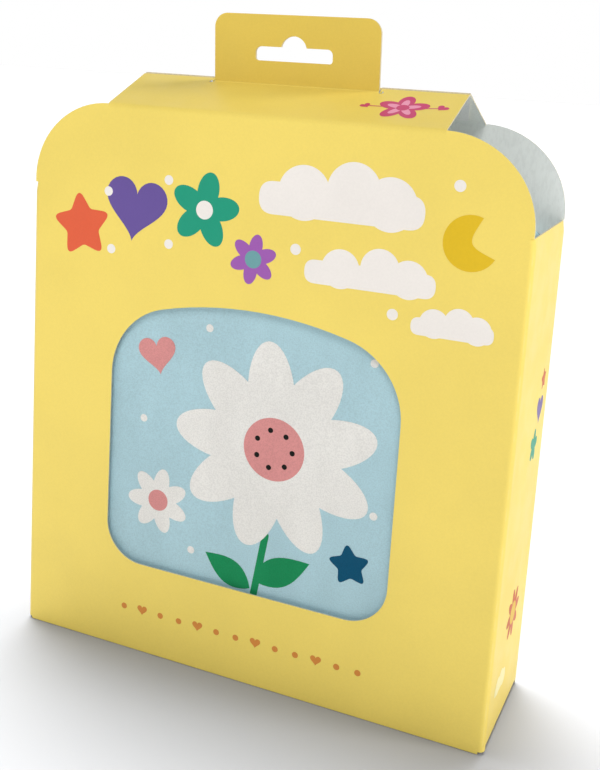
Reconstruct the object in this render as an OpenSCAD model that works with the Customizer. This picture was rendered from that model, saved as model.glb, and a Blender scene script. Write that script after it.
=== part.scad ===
// Plush book in its display case.
// The case is one sheet of folded card: four walls, a gable roof with a glued double hang tab in
// front of its ridge, dust flaps and a tuck flap below. The padded cloth book stands inside it
// and shows through the window. The origin is at the centre of the base: X right, Y back, Z up.

/* [Case] */
// Outer width of the case
case_w = 204; // [170:1:240]
// Outer depth of the case
case_d = 58; // [50:1:80]
// Height of the front and back panels, up to the folds of the roof
panel_h = 228; // [200:1:260]
// Radius of the panels' top corners; the side walls stop where these corners begin
corner_r = 34; // [24:1:44]
// Thickness of the card
card_t = 0.6; // [0.4:0.05:0.9]
// Outer radius of the folds
fold_r = 2.2; // [1.2:0.1:2.5]
// Height that each roof slope gains from its fold to the ridge
roof_rise = 12.2; // [8:0.1:18]
// Length of the front slope's flap, glued under the back slope
roof_flap_l = 27; // [24:0.5:28]
// Taper of that flap's ends, from the ridge to its tip
roof_flap_taper = 7; // [3:0.5:12]
// Width of the glue flap behind the back panel's cut edge
glue_w = 14; // [10:1:20]
// Distance from the back panel's cut edge to the left wall's outer face
seam_inset = 0.8; // [0.4:0.1:2]

/* [Window] */
// Width of the window
window_w = 123; // [100:1:150]
// Height of the window, to the top of its crown
window_h = 115; // [90:1:130]
// Height of the window's lower edge above the base
window_sill = 39; // [30:1:50]
// Radius of the window's lower corners
window_low_r = 16.5; // [8:0.5:24]
// Radius of the window's upper corners
window_high_r = 30; // [20:1:36]
// Radius of the window's crowned top edge
window_crown_r = 155; // [120:5:300]
// Sideways shift of the window from the middle of the case
window_shift = -1; // [-4:0.5:4]

/* [Hang tab] */
// Width of the hang tab
tab_w = 68.6; // [50:0.2:90]
// Length of the hang tab above its foot
tab_h = 26.6; // [24:0.2:34]
// Distance down the front slope from the ridge to the hang tab's foot
tab_setback = 4; // [3.6:0.1:7]
// Forward lean of the hang tab, in degrees
tab_lean = 5.5; // [0:0.5:12]
// Radius of the hang tab's top corners
tab_r = 5.5; // [3:0.5:9]
// Length of the hanging slot
slot_w = 32; // [26:1:40]
// Height of the hanging slot's arms
slot_h = 5.4; // [4.4:0.1:7]
// Height of the hanging slot's lower edge above the tab's foot
slot_rise = 9; // [7:0.1:10]
// Sideways shift of the hanging slot from the tab's middle
slot_shift = -0.6; // [-2:0.1:2]
// Radius of the hanging slot's lower corners
slot_low_r = 1.2; // [0.5:0.1:2]
// Radius of the hanging slot's upper corners
slot_high_r = 2.2; // [1:0.1:2.4]
// Diameter of the hanging slot's raised middle
slot_bump_d = 10.8; // [9:0.1:14]
// Height of the raised middle above the slot's lower edge
slot_bump_h = 9.7; // [8:0.1:12]
// Diameter of the relief hole at each end of the tab's foot
relief_d = 1.8; // [1:0.1:3]
// Width of the slits that run from the relief holes up to the ridge
slit_w = 0.4; // [0.2:0.1:0.8]

/* [Base] */
// Length of each dust flap, measured from the side wall
dust_l = 56; // [40:1:70]
// Distance from the front and back panels to the dust flaps' edges, which clears the tuck lip
dust_setback = 3; // [2.8:0.1:6]
// Taper of the dust flap on each side, from its fold to its tip
dust_taper = 7; // [3:1:12]
// Radius of the dust flap's tip corners
dust_r = 6; // [2:1:10]
// Height of the tuck lip behind the front panel
lip_h = 12; // [8:1:16]
// Radius of the tuck lip's corners
lip_r = 8; // [4:1:8]
// Lean of the tuck lip, which lets it swing out past the front panel
lip_lean = 1.7; // [1.5:0.1:2.2]
// Clearance between the tuck flap and the card round it
flap_gap = 0.3; // [0.2:0.05:0.5]
// Clearance between the tuck flap's ends and the side walls
flap_end_gap = 1.2; // [0.8:0.1:3]

/* [Book] */
// Clearance between the book and each side wall
book_side_gap = 3.4; // [2:0.2:8]
// Clearance between the book's crowned faces and the front and back panels
book_face_gap = 1.5; // [1.4:0.1:4]
// Distance from the book's top to the top of the side walls
book_top_gap = 2.2; // [1:0.2:10]
// Clearance under the book, where it stands on the dust flaps
book_seat_gap = 0.3; // [0.2:0.05:0.4]
// Radius of the book's corners
book_corner_r = 13; // [8:1:20]
// Bulge of the covers' padded faces at mid-height
cover_crown = 2; // [1.6:0.1:3]
// Thickness of the padded covers at mid-height
cover_t = 8.5; // [7:0.5:11]
// Radius of the covers' soft edges
cover_edge_r = 3; // [2:0.1:3]
// Thickness of the padded spine
spine_t = 6; // [5:0.5:10]
// Number of padded leaves between the covers
leaf_count = 5; // [3:1:6]
// Distance from the cover's edge in to the leaves' edge
leaf_inset = 4; // [2:0.5:8]
// Clearance between the leaves and the covers
leaf_gap = 0.3; // [0.2:0.05:0.5]
// Depth of the round nose along each leaf's edge
leaf_nose = 5; // [3:0.5:8]

/* [Hidden] */

card_yellow = [0.93, 0.83, 0.44];
cloth_blue = [0.66, 0.78, 0.80];
cloth_white = [0.90, 0.89, 0.86];

// Facets along each fold's arc, and along a round form of cloth
fold_steps = 6;
soft_steps = 10;
// Overlap of two forms that make up one sheet, so that they join into one solid
bite = 0.02;
// Length that a cutter runs past the card on each side
over = 5;

half_w = case_w / 2;
half_d = case_d / 2;
wall_h = panel_h - corner_r;
ridge_z = panel_h + roof_rise;

// The tuck flap lies on the ground, and the dust flaps lie over it
dust_z = card_t + flap_gap;
floor_z = dust_z + card_t;
dust_half_y = half_d - dust_setback;

// The roof in Y and Z: the direction up its front slope, its ridge and the end of its folds
roof_angle = atan(roof_rise / half_d);
slope = [cos(roof_angle), sin(roof_angle)];
ridge = [0, ridge_z];
roof_setback = fold_r * tan((90 - roof_angle) / 2);
roof_half_w = half_w - corner_r;
eaves = panel_h - roof_setback - 2;

// The hang tab in Y and Z: its foot on the front slope, the direction up it and its top
tab_foot = ridge - tab_setback * slope;
tab_up = [-sin(tab_lean), cos(tab_lean)];
tab_top = tab_foot[1] + tab_h * tab_up[1];

book_left = -half_w + card_t + book_side_gap;
book_right = -book_left;
book_low = floor_z + book_seat_gap;
book_high = wall_h - book_top_gap;
book_h = book_high - book_low;
book_mid_z = (book_low + book_high) / 2;
book_half_d = half_d - card_t - book_face_gap;
leaf_half_d = book_half_d - cover_t - leaf_gap;
leaf_t = 2 * leaf_half_d / leaf_count;

function unit(v) = v / norm(v);
function left_of(v) = [-v[1], v[0]];
function spin(v, a) = [v[0] * cos(a) - v[1] * sin(a), v[0] * sin(a) + v[1] * cos(a)];
function backwards(list) = [for (i = [len(list) - 1 : -1 : 0]) list[i]];

// Points and left-hand normals along one rounded corner of a sheet's outer face
function corner(p, before, after, r) =
    let (
        a = unit(before - p),
        b = unit(after - p),
        opening = acos(max(-1, min(1, a * b))),
        hub = p + unit(a + b) * r / sin(opening / 2),
        start = p + a * r / tan(opening / 2) - hub,
        side = sign(a[1] * b[0] - a[0] * b[1])
    )
    [for (i = [0 : fold_steps])
        let (spoke = spin(start, side * (180 - opening) * i / fold_steps))
        [hub + spoke, -side * spoke / r]];

// A bent sheet's outer face as points with normals: straight runs with rounded corners
function bent(path, r) =
    let (last = len(path) - 1)
    concat(
        [[path[0], left_of(unit(path[1] - path[0]))]],
        [for (i = [1 : last - 1]) each corner(path[i], path[i - 1], path[i + 1], r[i - 1])],
        [[path[last], left_of(unit(path[last] - path[last - 1]))]]
    );

// Section of a bent sheet: the path is its outer face, with the card on the path's left
module sheet_section(path, r) {
    face = bent(path, r);
    polygon(concat(
        [for (f = face) f[0]],
        backwards([for (f = face) f[0] + card_t * f[1]])
    ));
}

// Stands a drawing of X and Z up as a plate from y0 back to y1
module stand(y0, y1) {
    translate([0, y1, 0])
        rotate([90, 0, 0])
            linear_extrude(height = y1 - y0)
                children();
}

// Runs a drawing of Y and Z along X, from x0 to x1
module run_x(x0, x1) {
    translate([x0, 0, 0])
        rotate([90, 0, 90])
            linear_extrude(height = x1 - x0)
                children();
}

// A rectangle of X and Z with round upper corners
module round_top(x0, x1, z0, z1, r) {
    union() {
        translate([x0, z0])
            square([x1 - x0, z1 - z0 - r]);
        translate([x0 + r, z0])
            square([x1 - x0 - 2 * r, z1 - z0]);
        for (x = [x0 + r, x1 - r])
            translate([x, z1 - r])
                circle(r = r, $fn = 64);
    }
}

// Outline of the window, its top crowned between two corners that run smoothly into it
module window_outline() {
    reach = window_crown_r - window_high_r;
    side_x = window_w / 2 - window_high_r;
    hub_z = window_sill + window_h - window_crown_r;
    high_z = hub_z + sqrt(reach * reach - side_x * side_x);
    touch = [side_x, high_z - hub_z] * window_crown_r / reach;
    translate([window_shift, 0]) {
        intersection() {
            translate([0, hub_z])
                circle(r = window_crown_r, $fn = 360);
            polygon([
                [0, window_sill + window_low_r],
                [side_x, high_z],
                [touch[0], hub_z + touch[1]],
                [touch[0], hub_z + window_crown_r + over],
                [-touch[0], hub_z + window_crown_r + over],
                [-touch[0], hub_z + touch[1]],
                [-side_x, high_z]
            ]);
        }
        for (side = [-1, 1]) {
            translate([side * side_x, high_z])
                circle(r = window_high_r, $fn = 96);
            translate([side * (window_w / 2 - window_low_r), window_sill + window_low_r])
                circle(r = window_low_r, $fn = 64);
        }
        translate([-window_w / 2, window_sill + window_low_r])
            square([window_w, high_z - window_sill - window_low_r]);
        translate([-window_w / 2 + window_low_r, window_sill])
            square([window_w - 2 * window_low_r, 2 * window_low_r]);
    }
}

// Outline of the hanging slot: a long slot with round corners and a raised middle
module slot_outline() {
    translate([slot_shift, tab_foot[1] + slot_rise * tab_up[1]]) {
        for (side = [-1, 1]) {
            translate([side * (slot_w / 2 - slot_low_r), slot_low_r])
                circle(r = slot_low_r, $fn = 48);
            translate([side * (slot_w / 2 - slot_high_r), slot_h - slot_high_r])
                circle(r = slot_high_r, $fn = 48);
        }
        translate([-slot_w / 2, slot_low_r])
            square([slot_w, slot_h - slot_low_r - slot_high_r]);
        translate([-slot_w / 2 + slot_low_r, 0])
            square([slot_w - 2 * slot_low_r, slot_h - slot_high_r]);
        translate([-slot_w / 2 + slot_high_r, slot_low_r])
            square([slot_w - 2 * slot_high_r, slot_h - slot_low_r]);
        intersection() {
            translate([0, slot_bump_h - slot_bump_d / 2])
                circle(d = slot_bump_d, $fn = 72);
            translate([-slot_bump_d / 2, slot_low_r])
                square([slot_bump_d, slot_bump_h]);
        }
    }
}

// Flat panel with round top corners, open below the roof's fold; the front one has the window
module panel_outline() {
    difference() {
        round_top(-half_w, half_w, dust_z, panel_h, corner_r);
        translate([-roof_half_w, panel_h - roof_setback])
            square([2 * roof_half_w, roof_setback + over]);
        for (side = [-1, 1])
            translate([side * half_w - fold_r, dust_z - over])
                square([2 * fold_r, wall_h - dust_z + over]);
    }
}

module front_panel() {
    difference() {
        stand(-half_d, -half_d + card_t)
            union() {
                panel_outline();
                translate([-half_w + fold_r, 0])
                    square([case_w - 2 * fold_r, dust_z + bite]);
            }
        stand(-half_d - over, -half_d + card_t + over)
            window_outline();
    }
}

module back_panel() {
    difference() {
        stand(half_d - card_t, half_d)
            panel_outline();
        // The back panel is cut short of the left fold, where it is glued down
        translate([-half_w - over, half_d - card_t - over, -over])
            cube([over + seam_inset, 2 * over + card_t, wall_h + over]);
    }
}

// Side walls with their four upright folds; the left one ends in the glue flap's fold
module walls() {
    glue_y = half_d - card_t + bite;
    translate([0, 0, dust_z])
        linear_extrude(height = wall_h - dust_z) {
            sheet_section(
                [[-half_w + glue_w, glue_y], [-half_w, glue_y], [-half_w, -half_d],
                 [-half_w + 2 * fold_r, -half_d]],
                [fold_r, fold_r]
            );
            sheet_section(
                [[half_w - 2 * fold_r, -half_d], [half_w, -half_d], [half_w, half_d],
                 [half_w - 2 * fold_r, half_d]],
                [fold_r, fold_r]
            );
        }
}

// What the glue flap and the side walls lose: the flap's slanted ends and the foot of each wall
module wall_cuts() {
    flap_x = -half_w + 2 * fold_r;
    slant = glue_w - 2 * fold_r;
    stand(half_d - 3 * card_t, half_d - card_t)
        for (end = [[dust_z - over, dust_z + slant / 2], [wall_h + over, wall_h - slant / 2]])
            polygon([
                [flap_x, end[0]],
                [flap_x + slant + over, end[0]],
                [flap_x + slant + over, end[1]],
                [flap_x + slant, end[1]],
                [flap_x, end[0] + (end[0] < end[1] ? over : -over)]
            ]);
    for (side = [-1, 1])
        translate([side * half_w, 0, dust_z])
            cube([4 * fold_r, 2 * dust_half_y, 2 * fold_r], center = true);
}

// Dust flap on the right: it folds in from the foot of the side wall and lies over the tuck flap
module dust_flap() {
    tip_x = half_w - dust_l;
    intersection() {
        translate([0, dust_half_y, 0])
            rotate([90, 0, 0])
                linear_extrude(height = 2 * dust_half_y)
                    sheet_section(
                        [[tip_x, dust_z], [half_w, dust_z], [half_w, dust_z + 2 * fold_r]],
                        [fold_r]
                    );
        translate([0, 0, dust_z - over])
            linear_extrude(height = 2 * fold_r + 2 * over) {
                difference() {
                    polygon([
                        [half_w + over, dust_half_y],
                        [half_w - fold_r, dust_half_y],
                        [tip_x, dust_half_y - dust_taper],
                        [tip_x, -dust_half_y + dust_taper],
                        [half_w - fold_r, -dust_half_y],
                        [half_w + over, -dust_half_y]
                    ]);
                    for (side = [-1, 1])
                        translate([tip_x, side * (dust_half_y - dust_taper)])
                            rotate(45)
                                square(dust_r, center = true);
                }
            }
    }
}

// Outline of the roof's middle with the hang tab, its top corners rounded
module tab_outline() {
    stand(-half_d - over, half_d + over)
        round_top(-tab_w / 2, tab_w / 2, eaves - over, tab_top, tab_r);
}

// Front roof slope: beside the hang tab it folds down behind the ridge into a tapered flap, glued
// under the back slope; its middle folds up into the tab's front layer
module front_roof() {
    slit_x = tab_w / 2 + slit_w;
    cut_y = tab_foot[0] - card_t;
    notch_y = (tab_h - tab_setback) * slope[0];
    fold = ridge - (card_t - bite) / sin(2 * roof_angle) * slope;
    tip = fold + roof_flap_l * [slope[0], -slope[1]];
    difference() {
        intersection() {
            run_x(-roof_half_w, roof_half_w)
                sheet_section(
                    [tip, fold, [-half_d, panel_h], [-half_d, eaves]],
                    [fold_r, fold_r]
                );
            translate([0, 0, eaves - over])
                linear_extrude(height = ridge_z - eaves + 2 * over)
                    polygon([
                        [-roof_half_w - over, -half_d - over],
                        [roof_half_w + over, -half_d - over],
                        [roof_half_w + over, 0],
                        [roof_half_w, 0],
                        [roof_half_w - roof_flap_taper, tip[0] + over],
                        [-roof_half_w + roof_flap_taper, tip[0] + over],
                        [-roof_half_w, 0],
                        [-roof_half_w - over, 0]
                    ]);
        }
        // The sheet that the hang tab is made of is missing from the ridge and the flap
        translate([-slit_x, cut_y, panel_h])
            cube([2 * slit_x, notch_y - cut_y, roof_rise + over]);
    }
    intersection() {
        run_x(-tab_w / 2, tab_w / 2)
            sheet_section(
                [tab_foot + (tab_h + over) * tab_up, tab_foot, [-half_d, panel_h], [-half_d, eaves]],
                [card_t, fold_r]
            );
        tab_outline();
    }
}

// Back roof slope: it ends at the ridge beside the hang tab; its middle folds over the ridge and
// up again into the tab's back layer, glued to the front one
module back_roof() {
    foot = tab_foot + (2 * card_t - bite) / cos(roof_angle - tab_lean) * slope;
    for (side = [0, 1])
        mirror([side, 0, 0])
            mirror([0, 1, 0])
                run_x(tab_w / 2 - bite, roof_half_w)
                    sheet_section([ridge, [-half_d, panel_h], [-half_d, eaves]], [fold_r]);
    intersection() {
        run_x(-tab_w / 2, tab_w / 2)
            sheet_section(
                [[half_d, eaves], [half_d, panel_h], ridge, foot, foot + (tab_h + over) * tab_up],
                [fold_r, fold_r, card_t]
            );
        tab_outline();
    }
}

module display_case() {
    color(card_yellow)
        difference() {
            union() {
                front_panel();
                back_panel();
                difference() {
                    walls();
                    wall_cuts();
                }
                for (side = [0, 1])
                    mirror([side, 0, 0])
                        dust_flap();
                front_roof();
                back_roof();
            }
            stand(-half_d, half_d)
                slot_outline();
            for (side = [-1, 1])
                translate([side * (tab_w + slit_w + relief_d) / 2, tab_foot[0] - card_t, panel_h])
                    cylinder(d = relief_d, h = roof_rise + over, $fn = 32);
        }
}

// Tuck flap: it hinges at the foot of the back panel, and its lip tucks in behind the front panel
module bottom_flap() {
    front_y = -half_d + card_t + flap_gap;
    back_y = half_d - flap_gap;
    lip_top = [front_y + lip_lean, lip_h];
    half_l = half_w - card_t - flap_end_gap;
    color(card_yellow)
        intersection() {
            run_x(-half_l, half_l)
                sheet_section([lip_top, [front_y, 0], [back_y, 0]], [fold_r]);
            stand(-half_d, half_d)
                round_top(-half_l, half_l, -over, lip_h, lip_r);
        }
}

// Rounded outline of a cloth piece in X and Z
module cloth_outline(x0, x1, z0, z1, r) {
    union() {
        translate([x0 + r, z0])
            square([x1 - x0 - 2 * r, z1 - z0]);
        translate([x0, z0 + r])
            square([x1 - x0, z1 - z0 - 2 * r]);
        for (x = [x0 + r, x1 - r], z = [z0 + r, z1 - r])
            translate([x, z])
                circle(r = r, $fn = 64);
    }
}

// Upright section of the book in Y and Z, with both faces bulging towards mid-height
module crowned_section() {
    rise = [for (k = [-soft_steps : soft_steps]) k / soft_steps];
    polygon(concat(
        [for (s = rise) [cover_crown * s * s - book_half_d, book_mid_z + s * book_h / 2]],
        [for (s = backwards(rise)) [book_half_d - cover_crown * s * s, book_mid_z + s * book_h / 2]]
    ));
}

// Soft edge of one cover in Y and Z: the front cover's section with its ends rounded
module cover_section() {
    inner = book_half_d - cover_t;
    edge = book_half_d - cover_crown;
    intersection() {
        crowned_section();
        union()
            for (side = [-1, 1])
                mirror([side > 0 ? 1 : 0, 0]) {
                    translate([-book_half_d, book_low + cover_edge_r])
                        square([cover_t, book_h - 2 * cover_edge_r]);
                    translate([-edge + cover_edge_r, book_low])
                        square([edge - inner - 2 * cover_edge_r, book_h]);
                    for (y = [-edge, -inner - 2 * cover_edge_r], z = [book_low, book_high - 2 * cover_edge_r])
                        translate([y + cover_edge_r, z + cover_edge_r])
                            circle(r = cover_edge_r, $fn = 48);
                }
    }
}

// Flat section of the cover in X and Y: two boards and the round spine, in one wrap
module wrap_section() {
    inner = book_half_d - cover_t;
    fore_x = book_right - cover_edge_r;
    difference() {
        union() {
            translate([book_left + book_half_d / 2, -book_half_d])
                square([fore_x - book_left - book_half_d / 2, 2 * book_half_d]);
            translate([book_left, -book_half_d / 2])
                square([book_half_d, book_half_d]);
            for (side = [-1, 1])
                translate([book_left + book_half_d / 2, side * book_half_d / 2])
                    circle(r = book_half_d / 2, $fn = 64);
            for (side = [-1, 1])
                translate([fore_x - bite, side * (inner + cover_t / 2) - cover_t / 2 + cover_edge_r])
                    square([cover_edge_r + bite, cover_t - 2 * cover_edge_r]);
            for (side = [-1, 1], rim = [-1, 1])
                translate([fore_x, side * (inner + cover_t / 2) + rim * (cover_t / 2 - cover_edge_r)])
                    circle(r = cover_edge_r, $fn = 48);
        }
        translate([book_left + spine_t, -inner])
            square([case_w, 2 * inner]);
    }
}

module book_cover() {
    color(cloth_blue)
        intersection() {
            translate([0, 0, book_low])
                linear_extrude(height = book_h)
                    wrap_section();
            stand(-book_half_d, book_half_d)
                cloth_outline(book_left, book_right, book_low, book_high, book_corner_r);
            union() {
                run_x(book_left + spine_t, book_right)
                    cover_section();
                run_x(book_left, book_left + spine_t + bite)
                    crowned_section();
            }
        }
}

// The leaves' edges, seen along one side: a round nose for each leaf, its depth along X
module leaf_edges(length) {
    translate([-length, -leaf_half_d])
        square([length - leaf_nose, 2 * leaf_half_d]);
    for (i = [0 : leaf_count - 1])
        translate([-leaf_nose - bite, -leaf_half_d + (i + 0.5) * leaf_t])
            polygon([for (k = [0 : 2 * soft_steps])
                let (a = -90 + 90 * k / soft_steps)
                [leaf_nose * cos(a), leaf_t / 2 * sin(a)]]);
}

module book_pages() {
    spine_x = book_left + spine_t + leaf_gap;
    fore_x = book_right - leaf_inset;
    low = book_low + leaf_inset;
    high = book_high - leaf_inset;
    color(cloth_white)
        intersection() {
            translate([fore_x, 0, low])
                linear_extrude(height = high - low)
                    leaf_edges(fore_x - spine_x);
            stand(-leaf_half_d, leaf_half_d)
                cloth_outline(spine_x, fore_x, low, high, book_corner_r - leaf_inset);
            run_x(spine_x, fore_x)
                translate([0, (low + high) / 2])
                    for (side = [0, 1])
                        mirror([0, side])
                            rotate(90)
                                translate([(high - low) / 2, 0])
                                    leaf_edges((high - low) / 2 + bite);
        }
}

display_case();
bottom_flap();
book_cover();
book_pages();
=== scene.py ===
"""Looks of a boxed plush book: a folded card case and the padded cloth book that stands in it."""

import logging
import math
import random
from collections.abc import Callable, Sequence
from dataclasses import dataclass, field
from enum import Enum

import bmesh
import bpy
from mathutils import Matrix, Vector, noise
from mathutils.bvhtree import BVHTree
from mathutils.geometry import delaunay_2d_cdt


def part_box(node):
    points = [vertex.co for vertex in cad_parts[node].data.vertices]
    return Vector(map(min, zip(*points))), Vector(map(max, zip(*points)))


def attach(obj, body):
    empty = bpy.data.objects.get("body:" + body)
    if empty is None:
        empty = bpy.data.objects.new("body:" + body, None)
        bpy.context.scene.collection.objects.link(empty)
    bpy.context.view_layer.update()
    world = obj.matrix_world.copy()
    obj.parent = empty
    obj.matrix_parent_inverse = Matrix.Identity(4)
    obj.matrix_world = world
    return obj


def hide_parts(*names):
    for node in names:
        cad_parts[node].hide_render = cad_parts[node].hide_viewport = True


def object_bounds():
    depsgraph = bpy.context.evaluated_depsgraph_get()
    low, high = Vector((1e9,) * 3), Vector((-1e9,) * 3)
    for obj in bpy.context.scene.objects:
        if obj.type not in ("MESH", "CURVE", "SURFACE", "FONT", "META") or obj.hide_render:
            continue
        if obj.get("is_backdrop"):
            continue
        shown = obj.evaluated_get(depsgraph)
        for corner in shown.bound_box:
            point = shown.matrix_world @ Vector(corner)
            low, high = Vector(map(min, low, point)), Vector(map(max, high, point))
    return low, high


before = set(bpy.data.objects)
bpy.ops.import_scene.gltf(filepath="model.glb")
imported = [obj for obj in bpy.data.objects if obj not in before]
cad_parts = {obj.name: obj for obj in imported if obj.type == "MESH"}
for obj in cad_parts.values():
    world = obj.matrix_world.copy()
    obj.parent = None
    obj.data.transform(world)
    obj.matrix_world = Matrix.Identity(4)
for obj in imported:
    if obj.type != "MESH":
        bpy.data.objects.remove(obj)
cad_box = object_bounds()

log = logging.getLogger("boxed_book")

Colour = tuple[float, float, float, float]
Point = tuple[float, float]
Outline = list[Point]
Socket = bpy.types.NodeSocket

CASE_BODY = "case_with_book"
FLAP_BODY = "tuck_flap"

# Places of the colour sockets on Blender's mixing node.
MIX_FACTOR, MIX_FIRST, MIX_SECOND, MIX_RESULT = 0, 6, 7, 2
# Radians that Blender's wave texture turns through in one unit of its scale.
WAVE_RATE = 20.0
# Distances in metres under which two points are one.
SAME_POINT = 1e-6
SAME_CUT = 1e-7


def shade(red: int, green: int, blue: int) -> Colour:
    """Turns an 8-bit display colour into the linear one that shaders take.

    Args:
        red: Red, from 0 to 255.
        green: Green, from 0 to 255.
        blue: Blue, from 0 to 255.

    Returns:
        The colour as linear red, green, blue and a full alpha.
    """
    def linear(value: int) -> float:
        """Undoes the display curve for one channel."""
        share = value / 255
        return share / 12.92 if share <= 0.04045 else ((share + 0.055) / 1.055) ** 2.4

    return linear(red), linear(green), linear(blue), 1.0


def add_object(name: str, data: bpy.types.ID) -> bpy.types.Object:
    """Puts a mesh, a lamp or a camera into the scene.

    Args:
        name: Name of the object.
        data: Its mesh, lamp or camera.

    Returns:
        The object.
    """
    made = bpy.data.objects.new(name, data)
    bpy.context.scene.collection.objects.link(made)
    return made


def report(piece: bpy.types.Object) -> None:
    """Logs a piece's name and its number of faces."""
    log.info("%s: %d faces", piece.name, len(piece.data.polygons))


class Ink(Enum):
    """The printed colours, on the card and on the cover's cloth."""

    YELLOW = shade(246, 220, 108)
    # Deeper gold of the hang tab: painted shade, for the tab leaning forward out of the light.
    TAB_SHADED_GOLD = shade(228, 198, 84)
    WHITE = shade(244, 238, 232)
    CORAL = shade(228, 94, 56)
    PURPLE = shade(100, 78, 152)
    GREEN = shade(0, 152, 120)
    GOLD = shade(228, 188, 10)
    VIOLET = shade(158, 88, 176)
    TEAL = shade(106, 160, 164)
    ORANGE = shade(216, 138, 58)
    MAGENTA = shade(206, 58, 112)
    BLUSH = shade(244, 160, 190)
    RUST = shade(202, 88, 10)
    SKY = shade(177, 210, 219)
    PINK = shade(220, 148, 146)
    DEEP_TEAL = shade(4, 80, 112)
    LEAF_GREEN = shade(22, 140, 86)
    BLACK = shade(18, 20, 16)
    MILK = shade(236, 234, 229)
    CREAM = shade(250, 240, 178)


class ShaderNodes:
    """The nodes of a material or of the world, laid down step by step."""

    def __init__(self, owner: bpy.types.Material | bpy.types.World) -> None:
        """Starts with no nodes.

        Args:
            owner: The material or world that the nodes belong to.
        """
        owner.use_nodes = True
        self.tree = owner.node_tree
        self.tree.nodes.clear()

    def node(self, kind: str, **settings: object) -> bpy.types.Node:
        """Adds a node.

        Args:
            kind: Blender's name for its type.
            **settings: Its own properties.

        Returns:
            The node.
        """
        made = self.tree.nodes.new(kind)
        for key, value in settings.items():
            setattr(made, key, value)
        return made

    def join(self, source: Socket, target: Socket) -> None:
        """Links one socket to another."""
        self.tree.links.new(source, target)

    def feed(self, socket: Socket, value: object) -> None:
        """Links a socket to another, or sets it to a plain value.

        Args:
            socket: The socket to feed.
            value: The other socket, or the value.
        """
        if isinstance(value, bpy.types.NodeSocket):
            self.join(value, socket)
        else:
            socket.default_value = value

    def math(self, operation: str, *values: object) -> Socket:
        """Does one step of arithmetic.

        Args:
            operation: Blender's name for it.
            *values: The sockets or numbers that it works on.

        Returns:
            The socket of the result.
        """
        made = self.node("ShaderNodeMath", operation=operation)
        for socket, value in zip(made.inputs, values):
            self.feed(socket, value)
        return made.outputs[0]

    def blended(self, factor: object, first: object, second: object) -> Socket:
        """Mixes two colours.

        Args:
            factor: Share of the second colour.
            first: The first colour.
            second: The second colour.

        Returns:
            The socket of the mixture.
        """
        made = self.node("ShaderNodeMix", data_type="RGBA")
        for index, item in ((MIX_FACTOR, factor), (MIX_FIRST, first), (MIX_SECOND, second)):
            self.feed(made.inputs[index], item)
        return made.outputs[MIX_RESULT]


@dataclass(frozen=True)
class Mottle:
    """Noise that wanders smoothly between two values.

    Attributes:
        size: Size of its patches in metres.
        low: Its lowest value.
        high: Its highest value.
        detail: How many finer layers it has.
        span: Levels of the raw noise that give the lowest and the highest value.
        rise: Scale along the upright axis, under 1 for patches that are drawn out upright.
    """

    size: float
    low: float
    high: float
    detail: float = 2.0
    span: Point = (0.3, 0.7)
    rise: float = 1.0


@dataclass(frozen=True)
class Relief:
    """Noise that stands up from the surface.

    Attributes:
        size: Size of its bumps in metres.
        depth: Height of its bumps in metres.
        detail: How many finer layers it has.
        rise: Scale along the upright axis, under 1 for bumps that are drawn out upright.
    """

    size: float
    depth: float
    detail: float = 2.0
    rise: float = 1.0


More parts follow.
